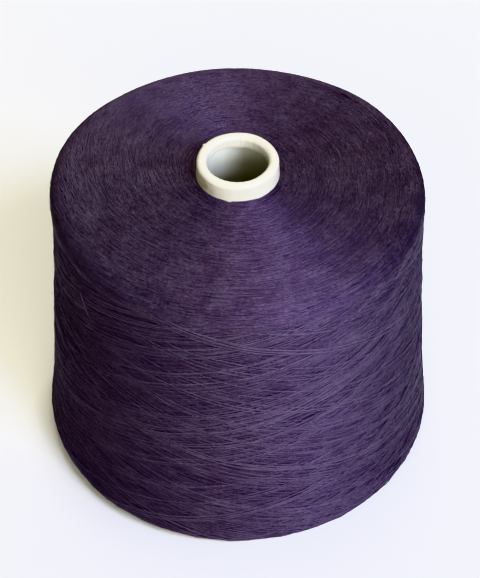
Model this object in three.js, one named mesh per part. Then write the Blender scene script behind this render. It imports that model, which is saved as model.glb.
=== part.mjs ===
// A cone of fine yarn, cross-wound on a tapered paper tube and standing on the tube's wide end.
// Millimetres, +Z up. The origin is on the surface it stands on, on the tube's axis.
import * as THREE from "three";

// The paper tube: a slender cone whose narrow end is rolled inwards into a thick rim.
const TUBE_LENGTH = 170;
const TUBE_TAPER = THREE.MathUtils.degToRad(3.5); // from the axis to the wall
const NOSE_RADIUS = 18.99; // outside, at the widest of the rolled rim
const RIM_THICKNESS = 4.72; // the wall together with the lip rolled in behind it
const WALL = 2.3;
const LIP_DEPTH = 7; // from the top of the rim down to the lip's cut edge
const CUT_EDGE = 0.4; // bevel of the cut edges, at the base and under the lip
const TUBE_COLUMNS = 64;

// The winding: two end faces, rounded shoulders and a side that is drawn in a little between them.
const FOOT_HEIGHT = 3; // the lowest turns, above the surface
const UNDERSIDE_RISE = 1.5; // the lower end face, from its rim up to the tube
const SHOULDER_HEIGHT = 156.7; // the upper end face, where it bends into the shoulder
const CROWN_HEIGHT = 160.6; // the upper end face, where it meets the tube
const TOP_RADIUS = 87.2; // the side carried on to the height of the upper end face
const FOOT_RADIUS = 95.9; // the side carried on to the height of the lowest turns
const WAIST = 1.5; // how far the middle of the side is drawn in
const SHOULDER_ROUNDING = 8.5;
const FOOT_ROUNDING = 4.5;
const TUBE_CLEARANCE = 0.3;

// The crossing turns, as two sets of low ridges that climb the side in opposite directions.
const RIDGES = 12; // in each set
const RIDGE_HEIGHT = 0.35;
const PASS_TURNS = 1; // turns about the axis from the foot to the shoulder
const RIDGE_FADE = 0.08; // share of the side over which the ridges sink at either end
const WINDING_COLUMNS = 72;
const SIDE_ROWS = 44;
const END_FACE_ROWS = 3;

const PURPLE_YARN = new THREE.MeshStandardMaterial({ color: 0x3b2b49, roughness: 0.92, metalness: 0 });
const CREAM_PAPER = new THREE.MeshStandardMaterial({ color: 0xf1ecd8, roughness: 0.7, metalness: 0 });

const SIDE_SLOPE = Math.atan2(FOOT_RADIUS - TOP_RADIUS, SHOULDER_HEIGHT - FOOT_HEIGHT);
const END_FACE_WIDTH = TOP_RADIUS - SHOULDER_ROUNDING - NOSE_RADIUS;
const END_FACE_SLOPE = Math.atan2(CROWN_HEIGHT - SHOULDER_HEIGHT, END_FACE_WIDTH);
const RIM_CENTRE_HEIGHT = TUBE_LENGTH - RIM_THICKNESS / 2;
const RIM_CENTRE_RADIUS = NOSE_RADIUS - RIM_THICKNESS / 2;

const tubeRadius = (z) => NOSE_RADIUS + (RIM_CENTRE_HEIGHT - z) * Math.tan(TUBE_TAPER);

// A point of a section: its radius, its height, and how much of the ridges' height it takes.
const point = (r, z, ridge = 0) => ({ r, z, ridge });

function arcPoints(centreR, centreZ, radius, from, to, steps) {
  return Array.from({ length: steps + 1 }, (_, i) => {
    const angle = THREE.MathUtils.lerp(from, to, i / steps);
    return point(centreR + radius * Math.cos(angle), centreZ + radius * Math.sin(angle));
  });
}

function tubeSection() {
  const lipHeight = TUBE_LENGTH - LIP_DEPTH;
  const lipRadius = NOSE_RADIUS - RIM_THICKNESS;
  const rim = arcPoints(RIM_CENTRE_RADIUS, RIM_CENTRE_HEIGHT, RIM_THICKNESS / 2, 0, Math.PI, 8);
  return [
    point(tubeRadius(0) - CUT_EDGE, 0),
    point(tubeRadius(CUT_EDGE), CUT_EDGE),
    ...rim,
    point(lipRadius, lipHeight + CUT_EDGE),
    point(lipRadius + CUT_EDGE, lipHeight),
    point(tubeRadius(lipHeight) - WALL, lipHeight),
    point(tubeRadius(0) - WALL, 0),
  ];
}

// An end face, a very flat cone from where it meets the tube out to where its rounding begins.
function endFace(tubeHeight, edge) {
  const innerRadius = tubeRadius(tubeHeight) + TUBE_CLEARANCE;
  return Array.from({ length: END_FACE_ROWS }, (_, i) => {
    const u = i / END_FACE_ROWS;
    return point(THREE.MathUtils.lerp(innerRadius, edge.r, u), THREE.MathUtils.lerp(tubeHeight, edge.z, u));
  });
}

function sidePoints(foot, shoulder) {
  return Array.from({ length: SIDE_ROWS - 1 }, (_, i) => {
    const u = (i + 1) / SIDE_ROWS;
    const drawnIn = WAIST * (1 - (2 * u - 1) ** 4);
    const ridge = Math.min(1, u / RIDGE_FADE, (1 - u) / RIDGE_FADE);
    return point(
      THREE.MathUtils.lerp(foot.r, shoulder.r, u) - drawnIn * Math.cos(SIDE_SLOPE),
      THREE.MathUtils.lerp(foot.z, shoulder.z, u) - drawnIn * Math.sin(SIDE_SLOPE),
      ridge,
    );
  });
}

function windingSection() {
  const footCentre = [FOOT_RADIUS - FOOT_ROUNDING, FOOT_HEIGHT + FOOT_ROUNDING];
  const shoulderCentre = [TOP_RADIUS - SHOULDER_ROUNDING, SHOULDER_HEIGHT - SHOULDER_ROUNDING];
  const upperEdge = Math.PI / 2 - END_FACE_SLOPE;
  const foot = arcPoints(...footCentre, FOOT_ROUNDING, -Math.PI / 2, SIDE_SLOPE, 4);
  const shoulder = arcPoints(...shoulderCentre, SHOULDER_ROUNDING, SIDE_SLOPE, upperEdge, 6);
  return [
    ...endFace(FOOT_HEIGHT + UNDERSIDE_RISE, foot[0]),
    ...foot,
    ...sidePoints(foot.at(-1), shoulder[0]),
    ...shoulder,
    ...endFace(CROWN_HEIGHT, shoulder.at(-1)).reverse(),
  ];
}

// Turns a section about the axis. The section closes on itself, so its first point is also its last.
function turned(section, columns) {
  const outline = [...section, section[0]].map(({ r, z }) => new THREE.Vector2(r, z));
  return new THREE.LatheGeometry(outline, columns);
}

// Raises the two crossing sets of ridges on a turned section, whose points come column by column.
function raiseRidges(geometry, section) {
  const places = geometry.getAttribute("position");
  const rows = section.length + 1;
  const sideHeight = SHOULDER_HEIGHT - FOOT_HEIGHT;
  for (let n = 0; n < places.count; n += 1) {
    const { z, ridge } = section[(n % rows) % section.length];
    const around = (Math.floor(n / rows) / WINDING_COLUMNS) * 2 * Math.PI;
    const climb = ((z - FOOT_HEIGHT) / sideHeight) * PASS_TURNS * 2 * Math.PI;
    const crossing = Math.cos(RIDGES * (around - climb)) + Math.cos(RIDGES * (around + climb));
    const raised = (RIDGE_HEIGHT / 2) * crossing * ridge;
    places.setX(n, places.getX(n) + raised * Math.sin(around));
    places.setZ(n, places.getZ(n) + raised * Math.cos(around));
  }
  geometry.computeVertexNormals();
  return geometry;
}

function paperTube() {
  const mesh = new THREE.Mesh(turned(tubeSection(), TUBE_COLUMNS), CREAM_PAPER);
  mesh.name = "paper_tube";
  return mesh;
}

function yarnWinding() {
  const section = windingSection();
  const mesh = new THREE.Mesh(raiseRidges(turned(section, WINDING_COLUMNS), section), PURPLE_YARN);
  mesh.name = "yarn_winding";
  return mesh;
}

// The sections are turned about the Y axis, and the group stands them up on +Z.
const yarnCone = new THREE.Group();
yarnCone.add(paperTube(), yarnWinding());
yarnCone.rotation.x = Math.PI / 2;

export default yarnCone;
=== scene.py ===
"""The looks of a cone of fine yarn on a paper tube, seen from above in soft window light."""
import math

import bpy
import numpy as np
from mathutils import Matrix, Vector


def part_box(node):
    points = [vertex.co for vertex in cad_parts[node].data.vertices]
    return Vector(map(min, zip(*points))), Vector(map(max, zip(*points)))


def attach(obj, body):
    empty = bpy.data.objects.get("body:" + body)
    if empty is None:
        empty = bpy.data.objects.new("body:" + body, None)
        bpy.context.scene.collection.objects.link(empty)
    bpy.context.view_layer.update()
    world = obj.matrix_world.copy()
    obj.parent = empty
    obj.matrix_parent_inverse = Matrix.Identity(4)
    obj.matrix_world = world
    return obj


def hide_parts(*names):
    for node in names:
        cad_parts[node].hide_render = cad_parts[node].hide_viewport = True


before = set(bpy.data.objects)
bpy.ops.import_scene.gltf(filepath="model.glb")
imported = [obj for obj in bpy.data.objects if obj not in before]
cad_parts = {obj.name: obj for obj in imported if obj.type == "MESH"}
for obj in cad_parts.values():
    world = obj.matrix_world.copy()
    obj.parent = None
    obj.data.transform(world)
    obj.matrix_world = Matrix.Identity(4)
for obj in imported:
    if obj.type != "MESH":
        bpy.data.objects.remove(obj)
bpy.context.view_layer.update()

MM = 0.001
DEGREE = math.pi / 180

# The paper tube, as in the CAD part
TUBE_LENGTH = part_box("paper_tube")[1][2]
TUBE_TAPER = 3.5 * DEGREE
NOSE_RADIUS = 18.99 * MM
RIM_THICKNESS = 4.72 * MM
WALL = 2.3 * MM
LIP_DEPTH = 7 * MM
CUT_EDGE = 0.4 * MM

# The tube's finer form, and how finely the turned forms are divided
LIP_SLOPE_DEPTH = 14 * MM  # from the lip's cut edge down to where it merges into the wall
RIM_STEPS = 22
SECTION_SIDE_STEPS = 60  # up the side, in the winding's section
TURNED_COLUMNS = 192  # round the axis, in the tube and in the winding's core

# The winding, as in the CAD part
FOOT_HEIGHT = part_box("yarn_winding")[0][2]
CROWN_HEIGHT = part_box("yarn_winding")[1][2]
UNDERSIDE_RISE = 1.5 * MM
SHOULDER_HEIGHT = 156.7 * MM
TOP_RADIUS = 87.2 * MM
FOOT_RADIUS = 95.9 * MM
WAIST = 1.5 * MM
SHOULDER_ROUNDING = 8.5 * MM
FOOT_ROUNDING = 4.5 * MM
TUBE_CLEARANCE = 0.3 * MM

# The yarn and how it is wound
YARN_WIDTH = 0.66 * MM
YARN_THICKNESS = 0.62 * MM
END_WIDTH = 0.5 * MM  # on the end faces, where the turns are drawn tighter
END_THICKNESS = 0.33 * MM
LAYERS_DEPTH = 1.7 * MM  # from the highest modelled turns on the side down to the lowest
HIGHEST_TURNS = 0.25 * MM  # how far the highest of them stand out of the surface
CORE_DEPTH = 1.4 * MM  # from the surface down to the solid winding behind the modelled turns
END_CORE_DEPTH = 0.35 * MM  # the same on the end faces
SIDE_LEAN = 88 * DEGREE  # how far the shading turns towards a turn's edges
END_LEAN = 66 * DEGREE
PASS_TURNS = 1.1  # turns about the axis from the foot to the shoulder
PASSES_LENGTH = 1300 * MM  # of yarn, up the side and back down
TURN_SHARPNESS = 0.995  # how suddenly a yarn turns back at the foot and the shoulder, at most 1
LOOSE_END = 0.02  # share of a yarn's path over which its end dives under the others
SIDE_PIECES = 3
SIDE_BANDS = 62  # in each piece
BAND_YARNS = 3  # side by side in a band, each running up the side and back down once
SIDE_STEPS = 126
TOP_PIECES = 2
TOP_ARCS = 7000  # in each piece
FOOT_ARCS = 1400
ARC_STEPS = 4
FIBRES = 3000
FIBRE_STEPS = 3
FIBRE_WIDTH = 0.05 * MM

# Where the random numbers of the pieces start
SIDE_SEED = 40
TOP_SEED = 50
FOOT_SEED = 55
FIBRE_SEED = 60

# The camera, fitted to the photo's outline, and the lights
PHOTO_HEIGHT = 578
FOCAL_PIXELS = 2000.0
AIM = Vector((0, 0, 80 * MM))
CAMERA_DISTANCE = 982.2 * MM
CAMERA_ELEVATION = 47.04 * DEGREE
CAMERA_ROLL = -0.22 * DEGREE
CAMERA_YAW = 0.0009
CAMERA_PITCH = 0.0015
LIGHT_DISTANCE = 1.5
FLOOR_REACH = 3.0  # from the axis to the floor's edges


def ramp(value, start, width):
    """0 up to start, rising evenly to 1 over width."""
    return np.clip((value - start) / width, 0, 1)


def fading(*shares):
    """1 where every share is 0, and softly less as any of them leaves it."""
    return np.exp(-sum(share**2 for share in shares))


def turned_from(azimuth, middle):
    """The angle from middle to azimuth, the short way round."""
    return np.angle(np.exp(1j * (azimuth - middle)))


def off(azimuth, middle, width):
    """How many widths an azimuth lies from a middle one. The middle and the width are in degrees."""
    return turned_from(azimuth, middle * DEGREE) / (width * DEGREE)


def unit(vectors):
    """The same directions at length 1."""
    return vectors / np.linalg.norm(vectors, axis=-1, keepdims=True)


def turned_places(radius, azimuth, height):
    """Points about the axis."""
    return np.stack([radius * np.cos(azimuth), radius * np.sin(azimuth), height], axis=-1)


def tube_radius(height):
    """The tube's outer radius at a height."""
    return NOSE_RADIUS + (TUBE_LENGTH - RIM_THICKNESS / 2 - height) * math.tan(TUBE_TAPER)


def arc(centre, radius, start, end, steps):
    """Points of an arc in the section's plane, radius and height, without the last one."""
    angles = np.linspace(start, end, steps + 1)[:-1]
    return np.stack([centre[0] + radius * np.cos(angles), centre[1] + radius * np.sin(angles)], axis=1)


def line(start, end, steps):
    """Evenly spaced points from start to end, without the last one."""
    return np.linspace(start, end, steps + 1)[:-1]


class Section:
    """The winding's section, from the tube at the foot, round the side, to the tube on top."""

    def __init__(self):
        slope = math.atan2(FOOT_RADIUS - TOP_RADIUS, SHOULDER_HEIGHT - FOOT_HEIGHT)
        outward = np.array([math.cos(slope), math.sin(slope)])
        end_width = TOP_RADIUS - SHOULDER_ROUNDING - NOSE_RADIUS
        upper_edge = math.pi / 2 - math.atan2(CROWN_HEIGHT - SHOULDER_HEIGHT, end_width)
        upward = np.array([math.cos(upper_edge), math.sin(upper_edge)])
        foot_centre = (FOOT_RADIUS - FOOT_ROUNDING, FOOT_HEIGHT + FOOT_ROUNDING)
        shoulder_centre = (TOP_RADIUS - SHOULDER_ROUNDING, SHOULDER_HEIGHT - SHOULDER_ROUNDING)
        foot = arc(foot_centre, FOOT_ROUNDING, -math.pi / 2, slope, 12)
        shoulder = arc(shoulder_centre, SHOULDER_ROUNDING, slope, upper_edge, 16)
        side = line(foot_centre + FOOT_ROUNDING * outward, shoulder[0], SECTION_SIDE_STEPS)
        share = line(0, 1, SECTION_SIDE_STEPS)
        drawn_in = WAIST * (1 - (2 * share - 1) ** 4)
        side -= drawn_in[:, None] * outward
        under_height = FOOT_HEIGHT + UNDERSIDE_RISE
        under_start = (tube_radius(under_height) + TUBE_CLEARANCE, under_height)
        crown_end = (tube_radius(CROWN_HEIGHT) + TUBE_CLEARANCE, CROWN_HEIGHT)
        under = line(under_start, foot[0], 24)
        crown = line(shoulder_centre + SHOULDER_ROUNDING * upward, crown_end, 24)
        self.points = np.concatenate([under, foot, side, shoulder, crown, [crown_end]])
        steps = np.linalg.norm(np.diff(self.points, axis=0), axis=1)
        self.runs = np.concatenate([[0], np.cumsum(steps)])
        along = np.gradient(self.points, self.runs, axis=0)
        along /= np.linalg.norm(along, axis=1, keepdims=True)
        self.normals = np.stack([along[:, 1], -along[:, 0]], axis=1)
        marks = np.cumsum([len(under), len(foot), len(side), len(shoulder)])
        self.foot_run, self.side_run, self.shoulder_run, self.crown_run = self.runs[marks]
        self.end_run = self.runs[-1]

    def place(self, run, azimuth, depth):
        """Points that deep under the surface, and the surface's outward normals there."""
        run, azimuth = np.broadcast_arrays(run, azimuth)
        radius, height = (np.interp(run, self.runs, self.points[:, i]) for i in (0, 1))
        out, up = (np.interp(run, self.runs, self.normals[:, i]) for i in (0, 1))
        lift = self.swell(run, azimuth) - depth
        places = turned_places(radius + lift * out, azimuth, height + lift * up)
        return places, turned_places(out, azimuth, up)

    def swell(self, run, azimuth):
        """How far the winding stands out from its even form.

        Slow waves run over all of it. Its shoulder is fuller on the left and lower behind."""
        share = run / self.end_run
        slow = 0.16 * np.sin(2 * azimuth + 5 * share + 0.6) + 0.12 * np.sin(3 * azimuth - 9 * share + 2.1)
        quick = 0.08 * np.sin(5 * azimuth + 21 * share) + 0.06 * np.sin(7 * azimuth - 33 * share + 1.0)
        above = (run - self.shoulder_run - 6 * MM) / (9 * MM)
        fuller = 1.4 * fading(off(azimuth, 167, 21), above)
        inward = (run - self.shoulder_run - 8 * MM) / (14 * MM)
        lower = 2.3 * np.exp(-(off(azimuth, 93, 44) ** 4) - inward**2)
        return (slow + quick + fuller - lower) * MM

    def side_run_at(self, height):
        """How far along the section the side reaches this height."""
        side = (self.runs >= self.side_run) & (self.runs <= self.shoulder_run)
        return np.interp(height, self.points[side, 1], self.runs[side])


def new_mesh(name, places, corners, sizes, maps=None, **attributes):
    """An object of these points and faces.

    corners lists each face's points in turn, and sizes how many each has."""
    mesh = bpy.data.meshes.new(name)
    mesh.vertices.add(len(places))
    mesh.vertices.foreach_set("co", places.astype(np.float32).ravel())
    mesh.loops.add(len(corners))
    mesh.loops.foreach_set("vertex_index", corners.astype(np.int32))
    mesh.polygons.add(len(sizes))
    mesh.polygons.foreach_set("loop_start", (np.cumsum(sizes) - sizes).astype(np.int32))
    mesh.polygons.foreach_set("use_smooth", np.ones(len(sizes), dtype=bool))
    if maps is not None:
        layer = mesh.uv_layers.new(name="OFBake")
        layer.data.foreach_set("uv", maps.astype(np.float32).ravel())
    for key, values in attributes.items():
        attribute = mesh.attributes.new(key, "FLOAT", "POINT")
        attribute.data.foreach_set("value", values.astype(np.float32).ravel())
    mesh.update(calc_edges=True)
    mesh.validate()
    made = bpy.data.objects.new(name, mesh)
    bpy.context.scene.collection.objects.link(made)
    return made


def strand_map(count, length):
    """The strands' places on their map, corner by corner: each strand is one thin row."""
    row = np.arange(count)[:, None, None]
    near = np.arange(3)[None, None, :]
    low = (row + near / 3) / count
    high = (row + (near + 1) / 3) / count
    left = np.arange(length - 1)[None, :, None] / (length - 1) + 0 * low
    right = left + 1 / (length - 1)
    low, high, left, right = np.broadcast_arrays(low, high, left, right)
    quad_map = np.stack([left, low, right, low, right, high, left, high], axis=-1)
    end_map = np.zeros((2 * count, 3, 2))
    end_map[:, :, 1] = np.tile((np.arange(count) + 0.5) / count, 2)[:, None]
    end_map[count:, :, 0] = 1
    return np.concatenate([quad_map.reshape(-1, 2), end_map.reshape(-1, 2)])


def strands(name, places, normals, width, thickness, tone, lean=None):
    """One mesh of many strands, each a closed three-sided tube along its row of places.

    width, thickness and tone have a value for each place. tone is dye and painted shade: 0 is darkest, 1
    palest.
    lean says how far the shading turns from the surface's normal to the strand's edges. It turns about the
    direction round the axis, whichever way the strand climbs, as the fibres in it are spun to and fro."""
    count, length, _ = places.shape
    along = unit(np.gradient(places, axis=1))
    beside = unit(np.cross(along, normals))
    upward = np.cross(beside, along)
    angles = np.array([90, 210, 330]) * DEGREE
    across = (width / 2)[:, :, None, None] * np.cos(angles)[:, None] * beside[:, :, None, :]
    raised = (thickness / 2)[:, :, None, None] * np.sin(angles)[:, None] * upward[:, :, None, :]
    rings = places[:, :, None, :] + across + raised

    first = np.arange(count)[:, None, None] * length * 3
    step = np.arange(length - 1)[None, :, None] * 3
    near = np.arange(3)[None, None, :]
    far = (near + 1) % 3
    quads = np.stack(np.broadcast_arrays(
        first + step + near,
        first + step + 3 + near,
        first + step + 3 + far,
        first + step + far,
    ), axis=-1)
    ends = first[:, 0] + np.array([[0, 1, 2]])
    other_ends = first[:, 0] + (length - 1) * 3 + np.array([[0, 2, 1]])
    corners = np.concatenate([quads.ravel(), ends.ravel(), other_ends.ravel()])
    sizes = np.concatenate([np.full(quads.size // 4, 4), np.full(2 * count, 3)])
    maps = strand_map(count, length)
    made = new_mesh(name, rings.reshape(-1, 3), corners, sizes, maps, tone=np.repeat(tone, 3))
    if lean is not None:
        around = unit(np.cross((0, 0, 1), places))
        aside = np.cross(around, normals)
        aside *= np.sign(np.sum(aside * beside, axis=-1, keepdims=True))
        turned = np.array([0, -lean, lean])[:, None]
        shading = np.cos(turned) * normals[:, :, None, :] + np.sin(turned) * aside[:, :, None, :]
        made.data.normals_split_custom_set_from_vertices(shading.reshape(-1, 3).tolist())
    return made


def closed_ring(name, places, **attributes):
    """A mesh turned about the axis from a grid of places, one row for each column of the turn.

    It closes both round the axis and round its section."""
    columns, rows, _ = places.shape
    column = np.arange(columns)[:, None]
    row = np.arange(rows)[None, :]
    next_column = (column + 1) % columns
    next_row = (row + 1) % rows
    corners = np.stack(np.broadcast_arrays(
        column * rows + row,
        next_column * rows + row,
        next_column * rows + next_row,
        column * rows + next_row,
    ), axis=-1)
    sizes = np.full(columns * rows, 4)
    left, low = np.broadcast_arrays(column / columns, row / rows)
    right, high = left + 1 / columns, low + 1 / rows
    maps = np.stack([left, low, right, low, right, high, left, high], axis=-1).reshape(-1, 2)
    return new_mesh(name, places.reshape(-1, 3), corners.ravel(), sizes, maps, **attributes)


def waves(random, count, along, lengths, height, member=slice(None)):
    """Random slow waves along each strand: one row for each strand, in the unit of height.

    member says which of the count sets of waves each strand follows."""
    total = 0
    for wave_length in lengths:
        phase = random.uniform(0, 2 * np.pi, (count, 1))[member]
        size = random.normal(0, height / math.sqrt(len(lengths)), (count, 1))[member]
        total = total + size * np.sin(2 * np.pi * along / wave_length + phase)
    return total


def painted_light_contrast(azimuth):
    """How far the turns' shades lie apart: painted least at the right, where the light falls straight on and
    casts few shadows between them.
    """
    return 1 - 0.6 * fading(off(azimuth, -16, 50))


def side_yarns(section, name, seed):
    """Turns on the side, laid in bands.

    Each yarn climbs round the side, turns back at the shoulder and comes down, and starts anywhere on this
    way. Turns that lie deeper are painted darker, as painted shade in the gaps."""
    random = np.random.default_rng(seed)
    yarns = SIDE_BANDS * BAND_YARNS
    band = np.repeat(np.arange(SIDE_BANDS), BAND_YARNS)
    order = np.tile(np.arange(BAND_YARNS), SIDE_BANDS) - (BAND_YARNS - 1) / 2
    layer = random.permutation((np.arange(SIDE_BANDS) + 0.5) / SIDE_BANDS)[band, None]
    turns = random.normal(PASS_TURNS, 0.06, SIDE_BANDS)[band, None]
    start = ((np.arange(SIDE_BANDS) + random.uniform(0, 1, SIDE_BANDS)) / SIDE_BANDS)[band, None]
    spread = random.uniform(0.8, 2.0, SIDE_BANDS)[band, None] * MM
    beside = spread * (order[:, None] + random.normal(0, 0.25, (yarns, 1))) / (2 * np.pi * FOOT_RADIUS)
    phase = random.uniform(0, 1, SIDE_BANDS)[band, None]
    path = np.linspace(0, 1, SIDE_STEPS + 1)[None, :]
    share = path + random.uniform(0, 1, (yarns, 1))
    azimuth = 2 * np.pi * (start + beside + 2 * turns * share)

    zigzag = np.arcsin(TURN_SHARPNESS * np.sin(2 * np.pi * (share + phase))) / math.asin(TURN_SHARPNESS)
    low = section.foot_run + random.uniform(0.0, 4.0, (yarns, 1)) * MM
    high = section.crown_run + random.uniform(-5.0, 1.5, (yarns, 1)) * MM
    length = share * PASSES_LENGTH
    drift = waves(random, SIDE_BANDS, length, (420 * MM, 260 * MM), 1.6 * MM, band)
    wander = waves(random, yarns, length, (90 * MM, 53 * MM, 37 * MM), 0.4 * MM)
    run = (low + high) / 2 + (high - low) / 2 * zigzag + (drift + wander) * (1 - zigzag**6)

    ripple = waves(random, yarns, length, (61 * MM, 37 * MM), 0.1 * MM)
    at_ends = 2.0 * MM * np.clip(1 - np.minimum(path, 1 - path) / LOOSE_END, 0, 1) ** 2
    over_shoulder = 1.1 * MM * ramp(run, section.shoulder_run, 7 * MM)
    level = np.clip(np.sqrt(layer) + random.normal(0, 0.1, (yarns, 1)), 0, 1)
    depth = LAYERS_DEPTH * level - HIGHEST_TURNS + ripple + (at_ends + over_shoulder)
    places, normals = section.place(run, azimuth, depth)

    plump = 1 + waves(random, yarns, length, (53 * MM, 29 * MM), 0.12)
    own_shade = random.normal(0, 0.17, SIDE_BANDS)[band, None] + random.normal(0, 0.07, (yarns, 1))
    upward = (run - section.foot_run) / (section.crown_run - section.foot_run)
    apart = painted_light_contrast(azimuth) * (0.75 + 0.3 * upward)
    # Painted shade: deeper turns are painted darker, as shade in the gaps, and low turns at the right a
    # little darker. All are a little paler higher up.
    base_and_painted_shade = 0.34 + 0.04 * upward - 0.1 * (1 - painted_light_contrast(azimuth)) * (1 - upward)
    tone = np.clip(base_and_painted_shade + apart * (0.42 - 0.9 * level + own_shade), 0, 1)
    return strands(name, places, normals, YARN_WIDTH * plump, YARN_THICKNESS * plump, tone, SIDE_LEAN)


def end_arcs(section, name, count, seed, up):
    """The turning points of the yarn on an end face: short arcs that rise to the face and dive again.

    On top they go on over the shoulder, and radius is counted along the surface from the tube. In front they
    are longest and most uneven, and lie in rings. On the left they slant and lie in short rows. Their tone
    has
    painted light and shade: paler at the front left, darker in front and at the right, and darkest beside
    the tube on the left, where the tube's painted shadow lies."""
    random = np.random.default_rng(seed)
    inner = tube_radius(CROWN_HEIGHT if up else FOOT_HEIGHT) + TUBE_CLEARANCE
    outer = inner + (section.end_run - section.shoulder_run + 2 * MM if up else section.foot_run)
    radius = np.sqrt(random.uniform(inner**2, outer**2, (count, 1)))
    middle = random.uniform(0, 2 * np.pi, (count, 1))
    in_front = fading(off(middle, -80, 60))
    on_right = fading(off(middle, 20, 60))
    on_left = fading(off(middle, 172, 50))
    painted_light_front_left = fading(off(middle, 205, 48))
    painted_tube_shadow = fading(off(middle, 175, 60), (radius - inner) / (24 * MM))

    reach = (8 + 5 * in_front) * MM * (radius / outer) ** 0.4
    along = reach * np.linspace(-1, 1, ARC_STEPS + 1)[None, :]
    azimuth = middle + along / np.minimum(radius, TOP_RADIUS)
    slant = random.normal(0, 0.14, (count, 1)) * (1 - 0.6 * in_front) - 0.3 * on_left
    distance = radius + slant * along + waves(random, count, along, (21 * MM, 13 * MM), 0.15 * MM)
    distance = np.clip(distance - inner, 0, outer - inner)

    rows = on_left * np.sin(115 * middle + 1.33 * radius / MM)
    rings = np.sin(2.6 * radius / MM + 2 * np.sin(3 * middle)) + np.sin(4.1 * radius / MM + 5 * middle)
    rings *= in_front + 0.2 * on_right
    uneven = 0.4 + 1.6 * in_front
    proud = (0.06 * rows + 0.05 * rings + uneven * random.uniform(-0.12, 0.08, (count, 1))) * MM
    heaped = 0.8 * MM * np.exp(-(radius - inner) / (3 * MM))
    bent = 0.71 * MM * (along / (8 * MM)) ** 2 / (1 + 1.6 * in_front)
    run = section.end_run - distance if up else distance
    places, normals = section.place(run, azimuth, bent - proud - heaped)

    plump = 1 + waves(random, count, along, (17 * MM, 11 * MM), 0.1)
    # Painted light and shade: paler at the front left, darker in front and at the right, and the tube's
    # painted shadow on its left.
    slow = 0.2 * painted_light_front_left - 0.14 * in_front - 0.14 * on_right - 0.22 * painted_tube_shadow
    own_shade = 0.1 * rows + 0.08 * rings + uneven * random.normal(0, 0.08, (count, 1))
    tone = np.clip(0.32 + slow + own_shade + 0 * along, 0, 1)
    return strands(name, places, normals, END_WIDTH * plump, END_THICKNESS * plump, tone, END_LEAN)


def slipped_turn(section):
    """One turn that has slipped at the left: it hangs down in a small hook, and its ends dive back in."""
    height = np.array([[136, 133.5, 131, 128, 125.2, 123.6, 123.2, 124, 126]]) * MM
    azimuth = np.array([[213.8, 215.2, 216.4, 217.4, 218.5, 220.1, 222.3, 224.8, 228]]) * DEGREE
    ends = np.linspace(-1, 1, height.size)[None, :] ** 8
    places, normals = section.place(section.side_run_at(height), azimuth, (1.6 * ends - 0.6) * MM)
    width = np.full(height.shape, YARN_WIDTH)
    return strands("slipped_turn", places, normals, width, width, 0.8 + 0 * height)


def loose_fibres(section):
    """Fine fibres that stand a little off the turns."""
    random = np.random.default_rng(FIBRE_SEED)
    share = np.linspace(0, 1, FIBRE_STEPS + 1)[None, :]
    run = random.uniform(section.side_run, section.end_run - 2 * MM, (FIBRES, 1))
    azimuth = random.uniform(0, 2 * np.pi, (FIBRES, 1))
    radius = np.interp(run, section.runs, section.points[:, 0])
    length = random.uniform(2.0, 6.5, (FIBRES, 1)) * MM
    heading = random.normal(0, 0.6, (FIBRES, 1)) + np.pi * random.integers(0, 2, (FIBRES, 1))
    bend = random.normal(0, 0.5, (FIBRES, 1))
    forward = length * share * np.cos(heading + bend * share)
    sideways = length * share * np.sin(heading + bend * share)
    lift = random.gamma(1.6, 0.35, (FIBRES, 1)) * MM
    height = lift * np.sin(share * random.uniform(1.2, 2.9, (FIBRES, 1))) - 0.25 * MM * (1 - share)
    places, normals = section.place(run + sideways, azimuth + forward / radius, -height)
    width = np.full((FIBRES, share.size), FIBRE_WIDTH)
    tone = np.clip(random.normal(0.6, 0.2, (FIBRES, 1)) + 0 * share, 0, 1)
    return strands("loose_fibres", places, normals, width, width, tone)


def winding_core(section):
    """The solid winding behind the modelled turns."""
    inside = line(section.points[-1], section.points[0], 6)[None, 1:]
    runs = np.linspace(0, section.end_run, 100)
    azimuth = np.linspace(0, 2 * np.pi, TURNED_COLUMNS, endpoint=False)[:, None]
    on_end = ramp(np.maximum(section.foot_run - runs, runs - section.crown_run), 0, 5 * MM)
    heaped = 0.6 * MM * np.exp((runs - section.end_run) / (3 * MM))
    depth = CORE_DEPTH + (END_CORE_DEPTH - CORE_DEPTH) * on_end - heaped
    places, _ = section.place(runs[None, :], azimuth, depth[None, :])
    near_tube = turned_places(inside[:, :, 0], azimuth, inside[:, :, 1] + 0 * azimuth)
    places = np.concatenate([places, near_tube], axis=1)
    # Painted shade: the core, seen in the gaps, is painted darker than most turns, less so at the right.
    return closed_ring("winding_core", places, tone=0.4 - 0.25 * painted_light_contrast(azimuth) + 0 * places[..., 0])


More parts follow.
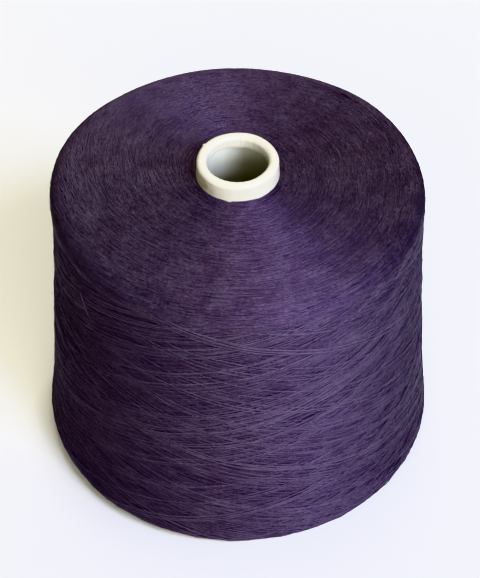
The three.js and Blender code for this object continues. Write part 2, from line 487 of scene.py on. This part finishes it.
def tube_look():
    """The paper tube, with its rolled rim a little uneven and its lip pressed against the wall inside.

    inside is 1 on the grey board and 0 on the paper, and nearly 1 on the lip at the back right, which takes
    the board's dark colour there as painted shade."""
    rim_centre = (NOSE_RADIUS - RIM_THICKNESS / 2, TUBE_LENGTH - RIM_THICKNESS / 2)
    lip_radius = NOSE_RADIUS - RIM_THICKNESS
    lip_height = TUBE_LENGTH - LIP_DEPTH
    base = tube_radius(0)
    outside = line((base, CUT_EDGE), (NOSE_RADIUS, rim_centre[1]), 40)
    rim = arc(rim_centre, RIM_THICKNESS / 2, 0, math.pi, RIM_STEPS)
    lip = line((lip_radius, rim_centre[1]), (lip_radius, lip_height + CUT_EDGE), 5)
    wall_height = lip_height - LIP_SLOPE_DEPTH
    wall_radius = tube_radius(wall_height) - WALL
    under_lip = line((lip_radius + CUT_EDGE, lip_height), (wall_radius, wall_height), 8)
    inner = line((wall_radius, wall_height), (base - WALL, CUT_EDGE), 32)
    foot = np.array([[base - WALL + CUT_EDGE, 0], [base - CUT_EDGE, 0]])
    section = np.concatenate([outside, rim, lip, under_lip, inner, foot])
    azimuth = np.linspace(0, 2 * np.pi, TURNED_COLUMNS, endpoint=False)[:, None]
    radius = section[None, :, 0] + 0 * azimuth
    height = section[None, :, 1] + 0 * azimuth

    near_rim = ramp(height, TUBE_LENGTH - 9 * MM, 6 * MM)
    on_top = ramp(height, TUBE_LENGTH - 3 * MM, 3 * MM)
    radius += near_rim * MM * (0.12 * np.sin(2 * azimuth + 0.4) + 0.07 * np.sin(5 * azimuth + 2))
    height += on_top * MM * (0.12 * np.sin(2 * azimuth + 1.9) + 0.06 * np.sin(7 * azimuth) - 0.16)
    inward = ramp(rim_centre[0] - radius, 0, RIM_THICKNESS / 2) * near_rim
    folds = np.sin(31 * azimuth + 1.3 * np.sin(3 * azimuth))
    folds = folds + 0.7 * np.sin(47 * azimuth + 2 * np.sin(2 * azimuth))
    radius += 0.05 * MM * inward * folds
    lip_edge = fading((height - lip_height) / (0.9 * MM)) * (radius < lip_radius + 1.5 * MM)
    height += lip_edge * MM * (0.35 * np.sin(3 * azimuth + 1) + 0.2 * np.sin(11 * azimuth))

    beside = turned_from(azimuth, 147 * DEGREE) * NOSE_RADIUS / (0.7 * MM)
    along_rim = np.hypot(radius - NOSE_RADIUS + 0.5 * MM, height - TUBE_LENGTH + 1.3 * MM) / (0.9 * MM)
    nick = 0.6 * MM * fading(beside, along_rim)
    radius += nick
    height += 0.5 * nick

    row = np.arange(len(section))[None, :]
    on_board = (row >= len(outside) + len(rim) + len(lip)) * (row < len(section) - len(foot))
    past_rim_top = row >= len(outside) + RIM_STEPS // 2
    # Painted shade: the lip at the back right is given the board's darker colour.
    painted_lip_shade = ramp(rim_centre[1] + 1.5 * MM - height, 0, 5 * MM) * past_rim_top
    inside = np.maximum(on_board + 0 * azimuth, 0.9 * painted_lip_shade * fading(off(azimuth, 38, 42)))
    return closed_ring("paper_tube_look", turned_places(radius, azimuth, height), inside=inside)


class Finish:
    """A material, with short calls to add nodes to it."""

    def __init__(self, name, **values):
        self.material = bpy.data.materials.new(name)
        self.material.use_nodes = True
        self.tree = self.material.node_tree
        self.shader = self.tree.nodes["Principled BSDF"]
        for key, value in values.items():
            self.shader.inputs[key.replace("_", " ")].default_value = value

    def set(self, socket, value):
        """Joins a socket to a node's output, or gives it a plain value."""
        if isinstance(value, bpy.types.NodeSocket):
            self.tree.links.new(value, socket)
        else:
            socket.default_value = value

    def node(self, kind, out, settings=None, **inputs):
        """Adds a node and gives back one of its outputs. An input is named, or numbered as in _0."""
        made = self.tree.nodes.new(kind)
        for key, value in (settings or {}).items():
            setattr(made, key, value)
        for key, value in inputs.items():
            self.set(made.inputs[int(key[1:]) if key[0] == "_" else key.replace("_", " ")], value)
        return made.outputs[out]

    def position(self):
        """The place on the object, in metres."""
        return self.node("ShaderNodeTexCoord", "Object")

    def coordinate(self, axis):
        """One coordinate of the place on the object."""
        return self.node("ShaderNodeSeparateXYZ", axis, Vector=self.position())

    def attribute(self, name):
        """A value that the mesh holds for each point."""
        return self.node("ShaderNodeAttribute", "Fac", {"attribute_name": name})

    def noise(self, scale, detail=3.0, roughness=0.5):
        """Noise from about 0.3 to 0.7, with scale waves to the metre."""
        return self.node("ShaderNodeTexNoise", "Fac", Vector=self.position(), Scale=scale, Detail=detail,
                         Roughness=roughness)

    def between(self, value, low, high, to_low, to_high):
        """value from low to high becomes to_low to to_high, and stops there."""
        return self.node("ShaderNodeMapRange", "Result", _0=value, _1=low, _2=high, _3=to_low, _4=to_high)

    def distance(self, place, zero, full, most=1.0):
        """A share from 0 at one distance from a place to most at another."""
        operation = {"operation": "DISTANCE"}
        away = self.node("ShaderNodeVectorMath", "Value", operation, _0=self.position(), _1=place)
        return self.between(away, zero, full, 0.0, most)

    def blend(self, share, first, second):
        """A colour between two."""
        return self.node("ShaderNodeMix", 2, {"data_type": "RGBA"}, _0=share, _6=first, _7=second)

    def add(self, first, second):
        """The sum of two values."""
        return self.node("ShaderNodeMath", 0, {"operation": "ADD"}, _0=first, _1=second)

    def multiply(self, first, second):
        """The product of two values."""
        return self.node("ShaderNodeMath", 0, {"operation": "MULTIPLY"}, _0=first, _1=second)

    def finish(self, colour, roughness, height, distance, strength=1.0):
        """Joins colour, roughness and bump to the shader."""
        normal = self.node("ShaderNodeBump", "Normal", Strength=strength, Distance=distance, Height=height)
        self.set(self.shader.inputs["Base Color"], colour)
        self.set(self.shader.inputs["Roughness"], roughness)
        self.set(self.shader.inputs["Normal"], normal)
        return self.material


def rgb(red, green, blue):
    """A colour as the shader takes it, from its usual 0 to 255 numbers."""
    linear = [((c / 255 + 0.055) / 1.055) ** 2.4 if c > 10 else c / 255 / 12.92 for c in (red, green, blue)]
    return (*linear, 1.0)


def yarn_finish():
    """Dyed purple, each turn a shade of its own from its dye and from painted shade, with a soft gloss along
    the fibres.
    """
    yarn = Finish("dyed_yarn", Specular_IOR_Level=0.58, Specular_Tint=(0.78, 0.50, 0.98, 1.0))
    mottle = yarn.noise(260.0, 2.0)
    slubs = yarn.noise(800.0, 2.0, 0.6)
    patches = yarn.noise(110.0, 3.0, 0.6)
    fibres = yarn.noise(2600.0, 2.0, 0.7)
    shade = yarn.add(yarn.attribute("tone"), yarn.between(slubs, 0.3, 0.7, -0.24, 0.24))
    shade = yarn.add(shade, yarn.between(patches, 0.3, 0.7, -0.18, 0.18))
    colour = yarn.blend(shade, rgb(12, 11, 13), rgb(60, 55, 63))
    colour = yarn.blend(yarn.between(fibres, 0.6, 0.8, 0.0, 0.12), colour, rgb(96, 84, 106))
    height = yarn.add(fibres, yarn.multiply(slubs, 4.0))
    height = yarn.add(height, yarn.multiply(patches, 13.0))
    return yarn.finish(colour, yarn.between(mottle, 0.3, 0.7, 0.46, 0.56), height, 0.06 * MM, 0.6)


def paper_finish():
    """Cream paper with a faint stain below the rim at the front left, and grey board inside.

    The board is painted paler towards the rim and darker at the right, as painted shade in the bore."""
    paper = Finish("cream_paper", Specular_IOR_Level=0.8)
    cloudy = paper.noise(90.0, 4.0)
    fibres = paper.noise(1500.0, 3.0, 0.65)
    colour = paper.blend(paper.between(cloudy, 0.3, 0.7, 0.0, 1.0), rgb(182, 179, 159), rgb(196, 193, 175))
    near = paper.distance((-15.5 * MM, -12.5 * MM, 163.0 * MM), 7.0 * MM, 1.0 * MM)
    stain = paper.multiply(near, paper.between(paper.noise(420.0), 0.35, 0.65, 0.2, 1.0))
    colour = paper.blend(stain, colour, rgb(144, 129, 102))
    # Painted shade: the board darkens deeper down the bore.
    upward = paper.between(paper.coordinate("Z"), 140 * MM, 165 * MM, 0.0, 1.0)
    board = paper.blend(upward, rgb(104, 101, 86), rgb(211, 214, 199))
    # Painted shade: the board darkens towards the right, where the light does not reach.
    painted_bore_shade = paper.between(paper.coordinate("X"), -7 * MM, 3 * MM, 0.0, 0.66)
    board = paper.blend(painted_bore_shade, board, rgb(76, 71, 51))
    colour = paper.blend(paper.attribute("inside"), colour, board)
    return paper.finish(colour, paper.between(cloudy, 0.3, 0.7, 0.32, 0.44), fibres, 0.05 * MM, 0.4)


def floor_finish():
    """A plain surface, painted paler towards the back right and darker towards the front left, as painted
    light.

    A painted shadow darkens it beside the foot at the front left, where the cast shadow begins."""
    floor = Finish("pale_surface", Specular_IOR_Level=0.2)
    # Painted light: paler away from the front left, darker near it.
    painted_light_back_right = floor.distance((-200 * MM, -150 * MM, 0), 50 * MM, 500 * MM)
    colour = floor.blend(painted_light_back_right, rgb(223, 222, 221), rgb(254, 254, 252))
    # Painted shadow beside the foot at the front left.
    painted_foot_shadow = floor.distance((-30 * MM, -24 * MM, 0), 80 * MM, 58 * MM, 0.42)
    colour = floor.blend(painted_foot_shadow, colour, rgb(60, 58, 55))
    return floor.finish(colour, 0.8, floor.noise(900.0, 2.0), 0.05 * MM, 0.2)


def make_floor():
    """A square floor at height 0."""
    places = FLOOR_REACH * np.array([[-1, -1, 0], [1, -1, 0], [1, 1, 0], [-1, 1, 0]])
    floor = new_mesh("floor", places, np.arange(4), np.array([4]))
    floor.data.materials.append(floor_finish())


def make_camera():
    """The photo's camera: where it stands, where it points and how it is turned about its own axis."""
    forward = Vector((0, math.cos(CAMERA_ELEVATION), -math.sin(CAMERA_ELEVATION)))
    right = Vector((1, 0, 0))
    up = right.cross(forward)
    look = (forward + math.tan(CAMERA_YAW) * right + math.tan(CAMERA_PITCH) * up).normalized()
    level = look.cross(Vector((0, 0, 1))).normalized()
    upright = level.cross(look)
    across = math.cos(CAMERA_ROLL) * level + math.sin(CAMERA_ROLL) * upright
    top = math.cos(CAMERA_ROLL) * upright - math.sin(CAMERA_ROLL) * level
    data = bpy.data.cameras.new("camera")
    data.sensor_width = 36
    data.lens = FOCAL_PIXELS / PHOTO_HEIGHT * data.sensor_width
    data.clip_end = 20
    camera = bpy.data.objects.new("camera", data)
    turned = Matrix((across, top, -look)).transposed().to_4x4()
    camera.matrix_world = Matrix.Translation(AIM - CAMERA_DISTANCE * forward) @ turned
    bpy.context.scene.collection.objects.link(camera)
    bpy.context.scene.camera = camera


def area_light(name, azimuth, elevation, size, power, colour):
    """A soft square light that points at the object, its place given in degrees.

    Azimuth is counted from the camera's side of the object, towards the right."""
    data = bpy.data.lights.new(name, "AREA")
    data.shape = "SQUARE"
    data.size = size
    data.energy = power
    data.color = colour
    light = bpy.data.objects.new(name, data)
    azimuth, elevation = azimuth * DEGREE, elevation * DEGREE
    toward = (math.sin(azimuth) * math.cos(elevation), -math.cos(azimuth) * math.cos(elevation))
    side = Vector((*toward, math.sin(elevation)))
    light.location = AIM + side * LIGHT_DISTANCE
    light.rotation_mode = "QUATERNION"
    light.rotation_quaternion = side.to_track_quat("Z", "Y")
    bpy.context.scene.collection.objects.link(light)


def make_light():
    """Cool light from a window at the front right, and weaker warm light from the room around."""
    cool = (0.71, 0.75, 1.0)
    warm = (1.0, 0.96, 0.77)
    area_light("window", 44, 45, 0.7, 59.0, cool)
    area_light("front_fill", 0, 40, 1.0, 23.0, warm)
    area_light("back_fill", 180, 40, 1.0, 10.5, warm)
    area_light("ceiling", 180, 84, 0.4, 6.5, warm)
    world = bpy.data.worlds.new("room")
    world.use_nodes = True
    background = world.node_tree.nodes["Background"]
    background.inputs["Color"].default_value = (1.0, 0.97, 0.9, 1.0)
    background.inputs["Strength"].default_value = 0.02
    bpy.context.scene.world = world
    bpy.context.scene.view_settings.view_transform = "Khronos PBR Neutral"


def dress(piece, finish, node):
    """Gives a piece its finish and its place in the frame."""
    piece.data.materials.append(finish)
    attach(piece, "root")
    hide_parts(node)


def make_winding():
    """The winding: its core, the turns on the side and on both end faces, and what hangs loose."""
    section = Section()
    finish = yarn_finish()
    pieces = [winding_core(section)]
    for i in range(SIDE_PIECES):
        pieces.append(side_yarns(section, f"side_turns_{i + 1}", SIDE_SEED + i))
    for i in range(TOP_PIECES):
        pieces.append(end_arcs(section, f"top_turns_{i + 1}", TOP_ARCS, TOP_SEED + i, up=True))
    pieces.append(end_arcs(section, "foot_turns", FOOT_ARCS, FOOT_SEED, up=False))
    pieces.append(slipped_turn(section))
    pieces.append(loose_fibres(section))
    for piece in pieces:
        dress(piece, finish, "yarn_winding")


make_camera()
make_light()
make_floor()
dress(tube_look(), paper_finish(), "paper_tube")
make_winding()
